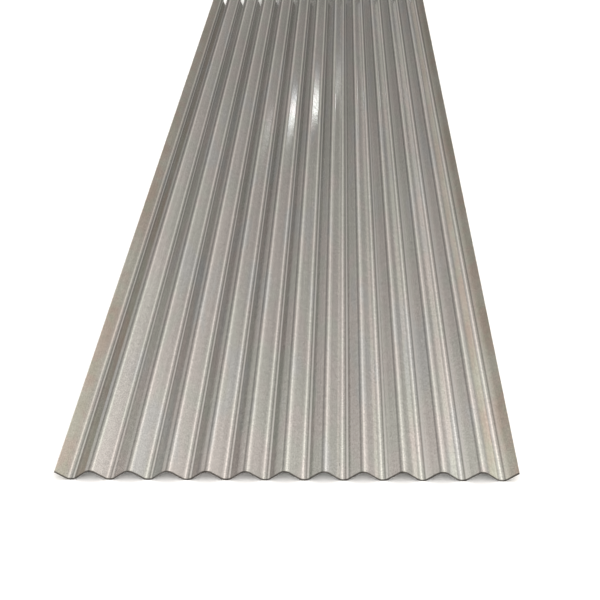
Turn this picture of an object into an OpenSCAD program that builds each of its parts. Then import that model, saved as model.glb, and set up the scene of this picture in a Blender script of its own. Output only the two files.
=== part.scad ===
// Corrugated steel roofing sheet: one flat blank, rolled into an arc-and-flank wave.
// The waves run along Y, X goes across them, and the troughs lie on the plane z = 0.
// The origin is at the middle of the sheet's footprint. All sizes are in millimetres.

/* [Sheet] */
// Width across the waves, from edge to edge at the middle of the steel
sheet_w = 900; // [400:1:1300]
// Length along the waves
sheet_l = 3000; // [600:10:6000]
// Thickness of the zinc-coated steel
gauge = 0.8; // [0.3:0.05:1.6]

/* [Wave] */
// Distance from one crest to the next
pitch = 76.2; // [70:0.1:100]
// Height of the wave, from trough to crest on the same face
wave_h = 21; // [12:0.5:26]
// Radius of each bend, to the middle of the steel
bend_r = 16; // [6:0.5:18]
// Flat strips that each bend is rolled in, an odd number so that one lies level
bend_strips = 9; // [3:2:21]

/* [Hidden] */

// A crest stands at the middle of the width, and bends alternate every half pitch.
half_w = sheet_w / 2;
half_pitch = pitch / 2;
bends = ceil(half_w / half_pitch) + 1;

// The flank is the line that touches a trough bend from above and the next crest bend from below.
centre_rise = wave_h - 2 * bend_r;
centre_gap = norm([half_pitch, centre_rise]);
flank_angle = atan2(centre_rise, half_pitch) + asin(2 * bend_r / centre_gap);

// The strips of a bend touch its true arc at their middles, so the corners stand just outside it.
strip_turn = 2 * flank_angle / (bend_strips + 1);
corner_factor = 1 / cos(strip_turn / 2);

// +1 where bend number b is a crest, and -1 where it is a trough
function lift(b) = b % 2 == 0 ? 1 : -1;

// Centre of bend b, in the plane across the waves
function bend_centre(b) =
    [b * half_pitch, gauge / 2 + (lift(b) > 0 ? wave_h - bend_r : bend_r)];

// Corner k of bend b on one face of the steel: side is +1 on top, -1 beneath and 0 at the middle
function corner(b, k, side) =
    let (angle = (k + 0.5) * strip_turn - flank_angle,
         radius = (bend_r + side * lift(b) * gauge / 2) * corner_factor)
    bend_centre(b) + radius * [sin(angle), lift(b) * cos(angle)];

// All corners of one face from the middle crest out past the right-hand edge
function half_face(side) =
    [for (b = [0 : bends], k = [0 : bend_strips])
        if (corner(b, k, side).x > 0) corner(b, k, side)];

// The blank is slit square to its surface, so the edge is a short line across the steel.
middle = half_face(0);
edge_step = [for (i = [0 : len(middle) - 2])
    if (middle[i].x <= half_w && middle[i + 1].x > half_w) i][0];
edge_run = middle[edge_step + 1] - middle[edge_step];
edge_along = edge_run / norm(edge_run);
edge_normal = [-edge_along.y, edge_along.x];
edge_middle = middle[edge_step] + edge_along * (half_w - middle[edge_step].x) / edge_along.x;

// One face from the middle crest to the slit edge
function cut_face(side) =
    [each [for (p = half_face(side)) if ((p - edge_middle) * edge_along < 0) p],
     edge_middle + side * edge_normal * gauge / 2];

function mirrored(points) = [for (p = points) [-p.x, p.y]];
function reversed(points) = [for (i = [len(points) - 1 : -1 : 0]) points[i]];

// Section across the waves: left to right along the top face, then back along the underside
module wave_section() {
    top = cut_face(1);
    underside = cut_face(-1);
    polygon([each reversed(mirrored(top)), each top,
             each reversed(underside), each mirrored(underside)]);
}

module sheet() {
    color([0.67, 0.66, 0.63])
    rotate([90, 0, 0])
    linear_extrude(height = sheet_l, center = true)
    wave_section();
}

sheet();
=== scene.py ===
"""Looks of a roll-formed, hot-dip galvanised roofing sheet on a studio floor, in metres throughout."""
import math

import bmesh
import bpy
from mathutils import Matrix, Vector, noise


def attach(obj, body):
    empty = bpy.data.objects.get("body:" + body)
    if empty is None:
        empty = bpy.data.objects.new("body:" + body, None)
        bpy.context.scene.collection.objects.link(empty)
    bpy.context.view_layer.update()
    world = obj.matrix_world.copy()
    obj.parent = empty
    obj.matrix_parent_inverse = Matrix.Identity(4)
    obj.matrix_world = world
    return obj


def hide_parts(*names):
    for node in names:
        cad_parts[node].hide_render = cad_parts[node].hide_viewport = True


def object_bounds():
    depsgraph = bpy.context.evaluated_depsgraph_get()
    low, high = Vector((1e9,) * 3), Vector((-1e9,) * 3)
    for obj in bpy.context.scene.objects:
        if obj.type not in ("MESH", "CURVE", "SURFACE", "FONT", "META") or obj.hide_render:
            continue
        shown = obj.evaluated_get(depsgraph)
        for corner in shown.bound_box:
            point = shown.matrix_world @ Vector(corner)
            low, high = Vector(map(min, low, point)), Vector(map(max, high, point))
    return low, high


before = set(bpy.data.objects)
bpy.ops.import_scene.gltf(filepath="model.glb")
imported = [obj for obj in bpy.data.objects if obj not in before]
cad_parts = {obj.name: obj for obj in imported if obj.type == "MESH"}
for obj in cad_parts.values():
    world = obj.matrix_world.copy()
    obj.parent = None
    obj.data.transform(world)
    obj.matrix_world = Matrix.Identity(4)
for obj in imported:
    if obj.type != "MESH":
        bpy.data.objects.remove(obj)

cad_lo, cad_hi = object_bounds()

# ---------------------------------------------------------------- the sheet's section

PITCH = 0.0762       # crest to crest
WAVE_H = 0.021       # trough to crest on one face
BEND_R = 0.016       # radius of each bend, to the middle of the steel
GAUGE = 0.0008       # thickness of the coated steel
HALF_PITCH = PITCH / 2

# The flank touches a trough bend from above and the next crest bend from below.
CENTRE_RISE = WAVE_H - 2 * BEND_R
CENTRE_GAP = math.hypot(HALF_PITCH, CENTRE_RISE)
FLANK = math.atan2(CENTRE_RISE, HALF_PITCH) + math.asin(2 * BEND_R / CENTRE_GAP)

HALF_BEND_STRIPS = 5                # strips from the middle of a bend to its flank
FLANK_STOPS = (0.06, 0.5, 0.94, 1)  # shares of the flank, tight beside the bends
ROWS = 100                          # strips along the length
SAME_POINT = 1e-6                   # points nearer than this are one
ON_THE_SLIT = 1e-7                  # points nearer to the slit than this lie on it

ROLL_SAG = 0.022        # most that the wave is flattened by, as a share of its height
SLOW_SAG = 0.42         # share of the flattening that changes about every metre
BRISK_SAG = 0.22        # share of it that changes every 200 mm or so
ROLL_DRIFT = 0.0005     # most that a crest wanders sideways

EDGE_ROUND = 0.00006    # rounding left by the shears on the cut edge
ZINC_SKIN = 0.00002     # zinc seen on each side of the cut
CREASE = math.radians(20)           # a corner sharper than this shades as a corner
ZINC_SLOT, STEEL_SLOT = 0, 1        # the sheet's two materials


def half_wave(bm, y):
    """The underside's line from the bottom of a trough up to the top of the next crest."""
    across = Vector((0, 1, 0))
    trough = Vector((-HALF_PITCH, y, GAUGE / 2 + BEND_R))
    crest = Vector((0, y, GAUGE / 2 + WAVE_H - BEND_R))
    bottom = trough - Vector((0, 0, BEND_R + GAUGE / 2))
    start = bmesh.ops.create_vert(bm, co=bottom)["vert"]
    turn = bmesh.ops.spin(bm, geom=start, cent=trough, axis=across, dvec=(0, 0, 0),
                          angle=-FLANK, steps=HALF_BEND_STRIPS, use_merge=False)
    tip = turn["geom_last"][0]
    lean = Vector((-math.sin(FLANK), 0, math.cos(FLANK)))
    rise = crest + lean * (BEND_R - GAUGE / 2) - tip.co
    done = 0
    for stop in FLANK_STOPS:
        tip = bmesh.ops.extrude_vert_indiv(bm, verts=[tip])["verts"][0]
        bmesh.ops.translate(bm, verts=[tip], vec=rise * (stop - done))
        done = stop
    bmesh.ops.spin(bm, geom=[tip], cent=crest, axis=across, dvec=(0, 0, 0),
                   angle=FLANK, steps=HALF_BEND_STRIPS, use_merge=False)


def underside(lo, hi):
    """The underside of the sheet, one quad thick, slit to its width and cut to its length."""
    bm = bmesh.new()
    half_wave(bm, lo.y)
    bmesh.ops.mirror(bm, geom=bm.verts[:] + bm.edges[:], merge_dist=SAME_POINT, axis="X")
    wave = bm.verts[:] + bm.edges[:]
    waves_each_side = math.ceil(hi.x / PITCH)
    for k in range(1, waves_each_side + 1):
        for side in (-1, 1):
            copy = bmesh.ops.duplicate(bm, geom=wave)["geom"]
            bmesh.ops.translate(bm, verts=[g for g in copy if isinstance(g, bmesh.types.BMVert)],
                                vec=(side * k * PITCH, 0, 0))
    bmesh.ops.remove_doubles(bm, verts=bm.verts[:], dist=SAME_POINT)
    for side, edge in ((1, hi.x), (-1, lo.x)):
        bmesh.ops.bisect_plane(bm, geom=bm.verts[:] + bm.edges[:], dist=ON_THE_SLIT,
                               plane_co=(edge, 0, 0), plane_no=(side, 0, 0), clear_outer=True)
    bmesh.ops.spin(bm, geom=bm.verts[:] + bm.edges[:], cent=(0, 0, 0), axis=(0, 0, 1), angle=0,
                   dvec=(0, (hi.y - lo.y) / ROWS, 0), steps=ROWS, use_merge=False)
    bmesh.ops.recalc_face_normals(bm, faces=bm.faces[:])
    if bm.faces[0].normal.z > 0:
        bmesh.ops.reverse_faces(bm, faces=bm.faces[:])
    return bm


def wander(x, y, per_wave, per_metre, seed):
    """A random value from about -1 to 1 that changes from wave to wave and along the length."""
    return noise.noise(Vector((x / PITCH * per_wave, y * per_metre, seed)))


def roll_marks(bm, hi):
    """What rolling and handling leave: the wave flattens and wanders a little, only inwards."""
    middle = (hi.z - GAUGE) / 2
    for v in bm.verts:
        x, y = v.co.x, v.co.y
        slow = wander(x, y, per_wave=0.9, per_metre=1.1, seed=3.1)
        brisk = wander(x, y, per_wave=2.1, per_metre=4.5, seed=9.4)
        sag = min(1, max(0, 0.5 + SLOW_SAG * slow + BRISK_SAG * brisk)) * ROLL_SAG
        drift = wander(x, y, per_wave=0.5, per_metre=0.9, seed=21.7) * ROLL_DRIFT
        edge_hold = 1 - (x / hi.x) ** 4
        v.co.x = x + drift * edge_hold
        v.co.z = middle + (v.co.z - middle) * (1 - sag)
    bm.normal_update()


def finish_cut_edge(bm):
    """Rounds the corners of the cut, and leaves a thin zinc skin on each side of the bare steel."""
    corners = [e for e in bm.edges
               if {f.material_index for f in e.link_faces} == {ZINC_SLOT, STEEL_SLOT}]
    rounded = bmesh.ops.bevel(bm, geom=corners, offset=EDGE_ROUND, segments=2, profile=0.5,
                              affect="EDGES", material=-1)["faces"]
    for f in rounded:
        f.material_index = ZINC_SLOT
    rim = [f for f in bm.faces if f.material_index == STEEL_SLOT]
    skins = bmesh.ops.inset_region(bm, faces=rim, thickness=ZINC_SKIN, depth=0, use_boundary=True,
                                   use_even_offset=True)["faces"]
    for f in skins:
        f.material_index = ZINC_SLOT


def place_of(part):
    """Where a point, an edge or a face is, in a form that sorts."""
    points = [part] if isinstance(part, bmesh.types.BMVert) else part.verts
    return sorted(v.co[:] for v in points)


def put_in_order(bm):
    """Gives the points, edges and faces an order that is the same on every run."""
    for parts in (bm.verts, bm.edges, bm.faces):
        ranks = {part: rank for rank, part in enumerate(sorted(parts, key=place_of))}
        parts.sort(key=ranks.get)


def rolled_sheet(lo, hi, zinc, cut_steel):
    """The whole sheet: both zinc-coated faces, and the sheared edge all round them."""
    bm = underside(lo, hi)
    roll_marks(bm, hi)
    lower = set(bm.faces)
    shell = bmesh.ops.solidify(bm, geom=bm.faces[:], thickness=GAUGE)["geom"]
    coated = lower | {g for g in shell if isinstance(g, bmesh.types.BMFace)}
    for f in bm.faces:
        f.material_index = ZINC_SLOT if f in coated else STEEL_SLOT
    finish_cut_edge(bm)
    for f in bm.faces:
        f.smooth = True
    for e in bm.edges:
        if len(e.link_faces) == 2 and e.calc_face_angle(0) > CREASE:
            e.smooth = False
    put_in_order(bm)
    mesh = bpy.data.meshes.new("rolled_sheet")
    bm.to_mesh(mesh)
    bm.free()
    mesh.materials.append(zinc)
    mesh.materials.append(cut_steel)
    sheet = bpy.data.objects.new("rolled_sheet", mesh)
    bpy.context.scene.collection.objects.link(sheet)
    return sheet


# ---------------------------------------------------------------- node helpers

def node(tree, kind, **settings):
    n = tree.nodes.new(kind)
    for key, value in settings.items():
        setattr(n, key, value)
    return n


def feed(tree, source, target):
    """Joins two sockets, or sets the target when the source is a plain value."""
    if isinstance(source, bpy.types.NodeSocket):
        tree.links.new(source, target)
    elif source is not None:
        target.default_value = source


def maths(tree, operation, a, b=None, clamp=False):
    n = node(tree, "ShaderNodeMath", operation=operation, use_clamp=clamp)
    feed(tree, a, n.inputs[0])
    feed(tree, b, n.inputs[1])
    return n.outputs[0]


def vector_maths(tree, operation, a, b=None, scale=None):
    n = node(tree, "ShaderNodeVectorMath", operation=operation)
    feed(tree, a, n.inputs[0])
    feed(tree, b, n.inputs[1])
    if scale is not None:
        feed(tree, scale, n.inputs["Scale"])
    return n.outputs[0]


def ranged(tree, value, from_lo, from_hi, to_lo=0.0, to_hi=1.0, smooth=False):
    n = node(tree, "ShaderNodeMapRange", interpolation_type="SMOOTHSTEP" if smooth else "LINEAR")
    for source, name in ((value, "Value"), (from_lo, "From Min"), (from_hi, "From Max"),
                         (to_lo, "To Min"), (to_hi, "To Max")):
        feed(tree, source, n.inputs[name])
    return n.outputs["Result"]


def mixed(tree, share, a, b):
    n = node(tree, "ShaderNodeMix", data_type="RGBA", blend_type="MIX")
    feed(tree, share, n.inputs[0])
    feed(tree, a, n.inputs[6])
    feed(tree, b, n.inputs[7])
    return n.outputs[2]


def axes_of(tree, vector):
    n = node(tree, "ShaderNodeSeparateXYZ")
    feed(tree, vector, n.inputs[0])
    return n.outputs


def channel(tree, colour, number):
    n = node(tree, "ShaderNodeSeparateColor")
    feed(tree, colour, n.inputs[0])
    return n.outputs[number]


def noise_of(tree, coords, cycles, detail=2.0, rough=0.5, offset=(0, 0, 0)):
    """Noise from 0 to 1 with the given numbers of cycles per metre along X, Y and Z."""
    place = node(tree, "ShaderNodeMapping")
    feed(tree, coords, place.inputs["Vector"])
    place.inputs["Scale"].default_value = cycles
    place.inputs["Location"].default_value = offset
    n = node(tree, "ShaderNodeTexNoise", noise_dimensions="3D")
    feed(tree, place.outputs[0], n.inputs["Vector"])
    n.inputs["Scale"].default_value = 1.0
    n.inputs["Detail"].default_value = detail
    n.inputs["Roughness"].default_value = rough
    return n.outputs["Fac"]


def crystals(tree, coords, per_metre, offset=(0, 0, 0)):
    """Cells the size of zinc crystals, with one random colour for each."""
    place = node(tree, "ShaderNodeMapping")
    feed(tree, coords, place.inputs["Vector"])
    place.inputs["Location"].default_value = offset
    n = node(tree, "ShaderNodeTexVoronoi", feature="F1", voronoi_dimensions="3D")
    feed(tree, place.outputs[0], n.inputs["Vector"])
    n.inputs["Scale"].default_value = per_metre
    return n.outputs["Color"]


def bumped(tree, height, strength, distance, normal=None):
    n = node(tree, "ShaderNodeBump")
    n.inputs["Strength"].default_value = strength
    n.inputs["Distance"].default_value = distance
    feed(tree, height, n.inputs["Height"])
    feed(tree, normal, n.inputs["Normal"])
    return n.outputs[0]


def new_group(name, inputs, outputs):
    group = bpy.data.node_groups.new(name, "ShaderNodeTree")
    for title, kind, value in inputs:
        socket = group.interface.new_socket(name=title, in_out="INPUT", socket_type=kind)
        if value is not None:
            socket.default_value = value
    for title, kind in outputs:
        group.interface.new_socket(name=title, in_out="OUTPUT", socket_type=kind)
    return group, group.nodes.new("NodeGroupInput"), group.nodes.new("NodeGroupOutput")


def place_group(tree, group, **values):
    n = node(tree, "ShaderNodeGroup", node_tree=group)
    for key, value in values.items():
        feed(tree, value, n.inputs[key])
    return n.outputs


def new_material(name):
    material = bpy.data.materials.new(name)
    material.use_nodes = True
    tree = material.node_tree
    tree.nodes.clear()
    shader = node(tree, "ShaderNodeBsdfPrincipled")
    feed(tree, shader.outputs[0], node(tree, "ShaderNodeOutputMaterial").inputs["Surface"])
    return material, tree, shader


# ---------------------------------------------------------------- effects on zinc and bare steel alike

LINES_ALONG = 2.2      # how often a rolled line changes in a metre of its length


def rolling_streaks_group():
    """Fine lines drawn along the length: a mask around 0.5 and a height around 0."""
    group, entry, exit_ = new_group("rolling_streaks",
                                    [("Coords", "NodeSocketVector", None),
                                     ("Across", "NodeSocketFloat", 420.0)],
                                    [("Mask", "NodeSocketFloat"), ("Height", "NodeSocketFloat")])
    across = entry.outputs["Across"]
    x, y, z = axes_of(group, entry.outputs["Coords"])
    drawn = node(group, "ShaderNodeCombineXYZ")
    feed(group, maths(group, "MULTIPLY", x, across), drawn.inputs[0])
    feed(group, maths(group, "MULTIPLY", y, LINES_ALONG), drawn.inputs[1])
    feed(group, maths(group, "MULTIPLY", z, across), drawn.inputs[2])
    lines = node(group, "ShaderNodeTexNoise", noise_dimensions="3D")
    feed(group, drawn.outputs[0], lines.inputs["Vector"])
    lines.inputs["Scale"].default_value = 1.0
    lines.inputs["Detail"].default_value = 4.0
    lines.inputs["Roughness"].default_value = 0.62
    feed(group, lines.outputs["Fac"], exit_.inputs["Mask"])
    feed(group, maths(group, "SUBTRACT", lines.outputs["Fac"], 0.5), exit_.inputs["Height"])
    return group


def tone_drift_group():
    """Slow patches of paler, rosier and bluer metal along a sheet."""
    group, entry, exit_ = new_group("tone_drift", [("Coords", "NodeSocketVector", None)],
                                    [("Pale", "NodeSocketFloat"), ("Rosy", "NodeSocketFloat"),
                                     ("Blue", "NodeSocketFloat")])
    coords = entry.outputs["Coords"]
    feed(group, noise_of(group, coords, (9, 1.3, 9), detail=3, rough=0.55), exit_.inputs["Pale"])
    feed(group, noise_of(group, coords, (14, 5, 14), offset=(3.7, 1.9, 0.4)), exit_.inputs["Rosy"])
    feed(group, noise_of(group, coords, (17, 3.4, 17), offset=(0.8, 6.1, 2.2)), exit_.inputs["Blue"])
    return group


# ---------------------------------------------------------------- zinc

ZINC_GREY = (0.724, 0.726, 0.716, 1)
ZINC_PALE = (0.818, 0.818, 0.806, 1)
ZINC_ROSY = (0.806, 0.746, 0.736, 1)
ZINC_GREEN = (0.722, 0.764, 0.710, 1)
ZINC_BLUE = (0.700, 0.738, 0.772, 1)
ZINC_FROST = (0.872, 0.850, 0.842, 1)
EDGE_BROWN = (0.590, 0.502, 0.428, 1)
EDGE_OLIVE = (0.548, 0.540, 0.446, 1)
# colour of the painted shade on the last millimetres at both cut ends
END_PAINTED_SHADE = (0.105, 0.098, 0.090, 1)
TINT_SHARE = 0.48              # how much of the colour is the patches' own tint

FINE_LINES = 520.0             # hair lines per metre across the sheet
BROAD_LINES = 95.0             # wider lines per metre
BIG_CRYSTALS = 120             # per metre
SMALL_CRYSTALS = 340
BIG_SHARE = 0.45               # how much of a patch's brightness is its big crystal's

CRYSTAL_GRAIN = 0.08           # changes of brightness, as shares of it
SPECK_GRAIN = 0.17
FINE_GRAIN = 0.07
BROAD_GRAIN = 0.04

FROST_X = -PITCH * 4.75        # middle of the coarse, pale flank
FROST_HALF = PITCH * 0.12      # half its width
FROST_SOFT = 0.002             # how far it takes to fade out sideways
FROST_NEAR_Y = cad_lo.y        # where along the sheet it is strongest
FROST_FAR_Y = -0.55            # where it is faintest
FROST_FAR = 0.12               # what is left of it there
FROST_SHARE = 0.85             # how much of the colour it takes over
FROST_GRAIN = 1.25             # how many times stronger its grain is
FROST_ROUGH = 0.17             # what it adds to the roughness

STAIN_IN = 0.036               # distances from the long edges where the stain starts and is full
STAIN_FULL = 0.012

END_IN = 0.0042                # the same for the painted shade at the ends
END_FULL = 0.0026
END_WANDER = 0.0006            # how much that border wanders
END_SHARE = 0.9
END_ROUGH = 0.25

TROUGH_FULL = 0.003            # heights where the trough's painted highlight and gloss are full and where they end
TROUGH_END = 0.013
TROUGH_LEFT_PAINTED_HIGHLIGHT = 0.33             # painted highlight added to trough flanks that face left, and painted shade on those that face right
TROUGH_RIGHT_PAINTED_SHADE = -0.14
TROUGH_GLOSS = 0.02            # what it takes off the roughness
FLANK_FACING = 0.45            # sideways part of a flank's normal at which those apply

RUBBED_IN = 0.0045             # distances below the crest's top where rubbing starts and is full
RUBBED_FULL = 0.001
RUBBED_ROUGH = 0.065

GLOSS_LO, GLOSS_HI = 0.09, 0.15    # roughness of the brightest and the dullest crystals
GLOSS_DRIFT = 0.02                 # change of roughness with lines, and with patches
BIG_LEAN = 0.004                   # how far crystals lean away from the sheet's own normal
SMALL_LEAN = 0.005


def zinc_patches(tree, patches):
    """Grey zinc with paler, rosy, green and blue patches."""
    pale = ranged(tree, patches["Pale"], 0.35, 0.68, smooth=True)
    rosy = ranged(tree, patches["Rosy"], 0.41, 0.59, smooth=True)
    blue = ranged(tree, patches["Blue"], 0.54, 0.68, smooth=True)
    tint = mixed(tree, blue, mixed(tree, rosy, ZINC_GREEN, ZINC_ROSY), ZINC_BLUE)
    return mixed(tree, TINT_SHARE, mixed(tree, pale, ZINC_GREY, ZINC_PALE), tint)


def frosted_flank(tree, x, y):
    """Mask of the one flank near the left-hand edge that froze coarser and paler than the rest."""
    off_flank = maths(tree, "ABSOLUTE", maths(tree, "SUBTRACT", x, FROST_X))
    across = ranged(tree, off_flank, FROST_HALF, FROST_HALF + FROST_SOFT, 1, 0, smooth=True)
    along = ranged(tree, y, FROST_NEAR_Y, FROST_FAR_Y, 1, FROST_FAR)
    return maths(tree, "MULTIPLY", across, along)


def edge_stain(tree, x, patches, hi):
    """Mask of the light stain along both long edges."""
    stain = ranged(tree, maths(tree, "ABSOLUTE", x), hi.x - STAIN_IN, hi.x - STAIN_FULL, smooth=True)
    return maths(tree, "MULTIPLY", stain, ranged(tree, patches["Rosy"], 0.3, 0.6, 0.35, 0.85))


def shade_painted_at_ends(tree, y, blotch, hi):
    """Mask of the painted shade on the last few millimetres at both ends."""
    from_end = maths(tree, "SUBTRACT", hi.y, maths(tree, "ABSOLUTE", y))
    from_end = maths(tree, "ADD", from_end, ranged(tree, blotch, 0.3, 0.7, -END_WANDER, END_WANDER))
    return ranged(tree, from_end, END_FULL, END_IN, END_SHARE, 0, smooth=True)


def leaning_crystals(tree, big, small):
    """The sheet's own normal, turned a little its own way in each crystal."""
    middle = (0.5, 0.5, 0.5)
    lean_big = vector_maths(tree, "SCALE", vector_maths(tree, "SUBTRACT", big, middle), scale=BIG_LEAN)
    lean_small = vector_maths(tree, "SCALE", vector_maths(tree, "SUBTRACT", small, middle), scale=SMALL_LEAN)
    lean = vector_maths(tree, "ADD", lean_big, lean_small)
    normal = node(tree, "ShaderNodeNewGeometry").outputs["Normal"]
    return vector_maths(tree, "NORMALIZE", vector_maths(tree, "ADD", normal, lean))


def galvanised_zinc(streaks, drift, hi):
    """Hot-dip zinc: small crystals, rolled lines, slow patches of colour, stained edges, painted light in
    the troughs and painted shade at the ends.
    """
    material, tree, shader = new_material("galvanised_zinc")
    place = node(tree, "ShaderNodeTexCoord")
    coords = place.outputs["Object"]
    x, y, z = axes_of(tree, coords)
    fine = place_group(tree, streaks, Coords=coords, Across=FINE_LINES)
    broad = place_group(tree, streaks, Coords=coords, Across=BROAD_LINES)
    patches = place_group(tree, drift, Coords=coords)
    big = crystals(tree, coords, BIG_CRYSTALS)
    small = crystals(tree, coords, SMALL_CRYSTALS, offset=(0.31, 0.07, 0.12))
    speck = noise_of(tree, coords, (430, 310, 430), detail=3, rough=0.65)
    blotch = noise_of(tree, coords, (34, 19, 34), detail=3)

    # how bright each crystal is, from 0 to 1
    spangle = maths(tree, "ADD", maths(tree, "MULTIPLY", channel(tree, big, 0), BIG_SHARE),
                    maths(tree, "MULTIPLY", channel(tree, small, 1), 1 - BIG_SHARE))
    frost = frosted_flank(tree, x, y)
    painted_end_shade = shade_painted_at_ends(tree, y, blotch, hi)
    # mask of the troughs, for their painted highlight and shade and for their gloss
    trough = ranged(tree, z, TROUGH_FULL, TROUGH_END, 1, 0, smooth=True)

    tone = zinc_patches(tree, patches)
    tone = mixed(tree, maths(tree, "MULTIPLY", frost, FROST_SHARE), tone, ZINC_FROST)
    stain_colour = mixed(tree, ranged(tree, blotch, 0.4, 0.6, smooth=True), EDGE_BROWN, EDGE_OLIVE)
    tone = mixed(tree, edge_stain(tree, x, patches, hi), tone, stain_colour)

    grain = maths(tree, "ADD", ranged(tree, spangle, 0, 1, -CRYSTAL_GRAIN, CRYSTAL_GRAIN),
                  ranged(tree, speck, 0.3, 0.7, -SPECK_GRAIN, SPECK_GRAIN))
    grain = maths(tree, "MULTIPLY", grain, ranged(tree, frost, 0, 0.6, 1, FROST_GRAIN))
    grain = maths(tree, "ADD", grain, ranged(tree, fine["Mask"], 0.2, 0.8, -FINE_GRAIN, FINE_GRAIN))
    grain = maths(tree, "ADD", grain, ranged(tree, broad["Mask"], 0.25, 0.75, -BROAD_GRAIN, BROAD_GRAIN))
    # painted light in the troughs: a painted highlight on flanks that face left, painted shade on flanks
    # that face right
    facing = axes_of(tree, place.outputs["Normal"])[0]
    trough_painted_light = ranged(tree, facing, -FLANK_FACING, FLANK_FACING, TROUGH_LEFT_PAINTED_HIGHLIGHT, TROUGH_RIGHT_PAINTED_SHADE)
    grain = maths(tree, "ADD", grain, maths(tree, "MULTIPLY", trough, trough_painted_light))
    tone = vector_maths(tree, "SCALE", tone, scale=maths(tree, "ADD", grain, 1))
    # painted shade darkens the last millimetres at both ends
    feed(tree, mixed(tree, painted_end_shade, tone, END_PAINTED_SHADE), shader.inputs["Base Color"])

    rough = maths(tree, "ADD", ranged(tree, spangle, 0, 1, GLOSS_LO, GLOSS_HI),
                  ranged(tree, fine["Mask"], 0.2, 0.8, -GLOSS_DRIFT, GLOSS_DRIFT))
    rough = maths(tree, "ADD", rough, ranged(tree, patches["Pale"], 0.3, 0.7, -GLOSS_DRIFT, GLOSS_DRIFT))
    rubbed = ranged(tree, z, hi.z - RUBBED_IN, hi.z - RUBBED_FULL, 0, RUBBED_ROUGH, smooth=True)
    rough = maths(tree, "ADD", rough, rubbed)
    rough = maths(tree, "SUBTRACT", rough, maths(tree, "MULTIPLY", trough, TROUGH_GLOSS))
    rough = maths(tree, "ADD", rough, maths(tree, "MULTIPLY", frost, FROST_ROUGH))
    rough = maths(tree, "ADD", rough, maths(tree, "MULTIPLY", painted_end_shade, END_ROUGH), clamp=True)
    feed(tree, rough, shader.inputs["Roughness"])
    shader.inputs["Metallic"].default_value = 1

    height = maths(tree, "ADD", fine["Height"], maths(tree, "MULTIPLY", speck, 0.5))
    leaning = leaning_crystals(tree, big, small)
    normal = bumped(tree, height, strength=0.3, distance=0.00012, normal=leaning)
    feed(tree, normal, shader.inputs["Normal"])
    return material


# ---------------------------------------------------------------- bare steel

TEAR_LINES = 1500.0                    # torn specks per metre on the cut
STEEL_DARK = (0.035, 0.033, 0.031, 1)
STEEL_PALE = (0.12, 0.114, 0.106, 1)
STEEL_BROWN = (0.13, 0.085, 0.055, 1)


def sheared_steel(streaks, drift):
    """The bare steel that shows between the two zinc skins where the shears went through."""
    material, tree, shader = new_material("sheared_steel")
    coords = node(tree, "ShaderNodeTexCoord").outputs["Object"]
    tear = place_group(tree, streaks, Coords=coords, Across=TEAR_LINES)["Mask"]
    stain = place_group(tree, drift, Coords=coords)["Rosy"]
    tone = mixed(tree, ranged(tree, tear, 0.35, 0.65), STEEL_DARK, STEEL_PALE)
    tone = mixed(tree, ranged(tree, stain, 0.5, 0.75, 0, 0.5, smooth=True), tone, STEEL_BROWN)
    feed(tree, tone, shader.inputs["Base Color"])
    feed(tree, ranged(tree, tear, 0.3, 0.7, 0.42, 0.62), shader.inputs["Roughness"])
    shader.inputs["Metallic"].default_value = 0.9
    feed(tree, bumped(tree, tear, strength=0.6, distance=0.00006), shader.inputs["Normal"])
    return material


# ---------------------------------------------------------------- the studio

FLOOR_R = 14                   # radius of the floor
FLOOR_WHITE = (0.92, 0.92, 0.92, 1)
AIR_TOP = 2.0                  # brightness of the air where its ramp is white
AIR_TINT = (1.06, 1, 0.93)     # slightly warm
AIR_AT_ENDS = 0.4              # how bright the air is beyond the sheet's ends, against beside it

# A plain studio, as an angle round the sheet's length (0 is overhead, 90 is level on the right) with how
# bright the air is there: a pale ceiling strip right of overhead, a dim gap left of it, and two pale walls.
AIR_AROUND = ((-90, 0.5), (-50, 0.6), (-30, 0.3), (0, 0.6), (20, 1.2), (45, 0.8), (90, 0.5))


def studio_floor():
    material, tree, shader = new_material("studio_floor")
    coords = node(tree, "ShaderNodeTexCoord").outputs["Object"]
    mottle = noise_of(tree, coords, (3, 3, 3), detail=4)
    feed(tree, ranged(tree, mottle, 0.3, 0.7, 0.72, 0.8), shader.inputs["Roughness"])
    shader.inputs["Base Color"].default_value = FLOOR_WHITE
    shader.inputs["Specular IOR Level"].default_value = 0.2
    bm = bmesh.new()
    bmesh.ops.create_circle(bm, cap_ends=True, cap_tris=False, segments=96, radius=FLOOR_R)
    mesh = bpy.data.meshes.new("studio_floor")
    bm.to_mesh(mesh)
    bm.free()
    mesh.materials.append(material)
    floor = bpy.data.objects.new("studio_floor", mesh)
    bpy.context.scene.collection.objects.link(floor)


def far_window(at, toward, size, radiance):
    """A small bright pane far off; size is across and along (Y), and radiance is how bright its face is."""
    data = bpy.data.lights.new("far_window", "AREA")
    data.shape = "RECTANGLE"
    data.size, data.size_y = size
    data.energy = radiance * math.pi * size[0] * size[1]
    light = bpy.data.objects.new("far_window", data)
    bpy.context.scene.collection.objects.link(light)
    back = (Vector(at) - Vector(toward)).normalized()
    side = Vector((0, 1, 0)).cross(back).normalized()
    along = back.cross(side)
    light.matrix_world = Matrix.Translation(at) @ Matrix((side, along, back)).transposed().to_4x4()
    light.visible_camera = False


def overhead_light(strength, spread):
    """Soft light from straight above that reaches the whole floor and leaves no image in the metal."""
    data = bpy.data.lights.new("overhead_light", "SUN")
    data.energy = strength
    data.angle = math.radians(spread)
    light = bpy.data.objects.new("overhead_light", data)
    light.visible_glossy = False
    bpy.context.scene.collection.objects.link(light)


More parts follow.
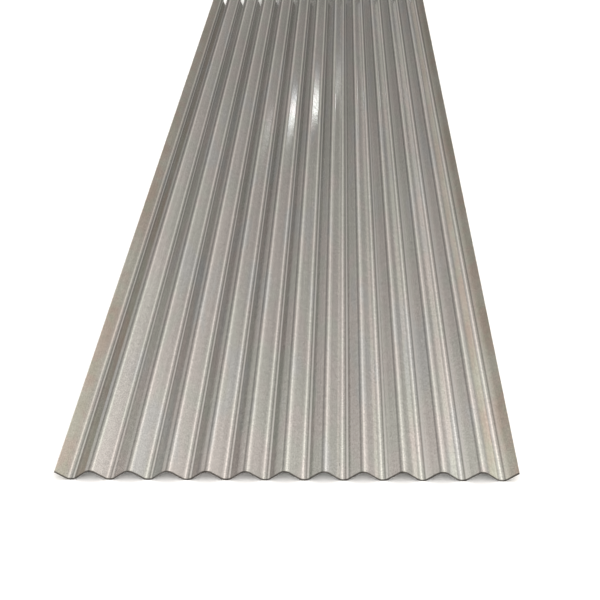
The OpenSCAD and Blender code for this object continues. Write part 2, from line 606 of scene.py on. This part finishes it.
def air_ramp(tree, around):
    """Tinted brightness round the sheet's length."""
    ramp = node(tree, "ShaderNodeValToRGB")
    ramp.color_ramp.interpolation = "EASE"
    while len(ramp.color_ramp.elements) < len(AIR_AROUND):
        ramp.color_ramp.elements.new(0.5)
    for element, (turn, level) in zip(ramp.color_ramp.elements, AIR_AROUND):
        element.position = turn / 180 + 0.5
        element.color = [level / AIR_TOP * part for part in AIR_TINT] + [1]
    feed(tree, around, ramp.inputs[0])
    return ramp.outputs[0]


def studio_air():
    """Soft light from all around the sheet's length, which fades towards its ends."""
    world = bpy.data.worlds.new("studio_air")
    world.use_nodes = True
    tree = world.node_tree
    tree.nodes.clear()
    x, y, z = axes_of(tree, node(tree, "ShaderNodeTexCoord").outputs["Generated"])
    # what comes from below the floor counts as level
    around = maths(tree, "ARCTAN2", x, maths(tree, "MAXIMUM", z, 0.001))
    around = ranged(tree, around, -math.pi / 2, math.pi / 2)
    endways = maths(tree, "ABSOLUTE", y)
    strength = ranged(tree, endways, 0.7, 0.95, AIR_TOP, AIR_TOP * AIR_AT_ENDS)
    light = node(tree, "ShaderNodeBackground")
    feed(tree, air_ramp(tree, around), light.inputs["Color"])
    feed(tree, strength, light.inputs["Strength"])
    # seen straight through the camera, the air is a plain white backdrop
    backdrop = node(tree, "ShaderNodeBackground")
    backdrop.inputs["Color"].default_value = (1, 1, 1, 1)
    seen = node(tree, "ShaderNodeMixShader")
    feed(tree, node(tree, "ShaderNodeLightPath").outputs["Is Camera Ray"], seen.inputs[0])
    feed(tree, light.outputs[0], seen.inputs[1])
    feed(tree, backdrop.outputs[0], seen.inputs[2])
    feed(tree, seen.outputs[0], node(tree, "ShaderNodeOutputWorld").inputs["Surface"])
    bpy.context.scene.world = world


def camera(at, down, turn, roll, lens):
    data = bpy.data.cameras.new("camera")
    data.lens, data.sensor_width = lens, 36
    data.clip_start, data.clip_end = 0.05, 60
    cam = bpy.data.objects.new("camera", data)
    bpy.context.scene.collection.objects.link(cam)
    cam.matrix_world = (Matrix.Translation(at) @ Matrix.Rotation(math.radians(turn), 4, "Z")
                        @ Matrix.Rotation(math.radians(90 - down), 4, "X")
                        @ Matrix.Rotation(math.radians(roll), 4, "Z"))
    bpy.context.scene.camera = cam


# ---------------------------------------------------------------- putting it together

streaks = rolling_streaks_group()
drift = tone_drift_group()
zinc = galvanised_zinc(streaks, drift, cad_hi)
sheet = rolled_sheet(cad_lo, cad_hi, zinc, sheared_steel(streaks, drift))
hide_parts("sheet")
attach(sheet, "root")

studio_floor()
overhead_light(strength=2.6, spread=120)
studio_air()
far_window(at=(6.13, 15.45, 2.4), toward=(0, 0.3, 0), size=(0.62, 0.32), radiance=3.2)
camera(at=(0.1216, -2.9358, 1.3911), down=33.97, turn=3.176, roll=-2.005, lens=61)
bpy.context.scene.view_settings.view_transform = "Standard"
bpy.context.scene.view_settings.look = "None"
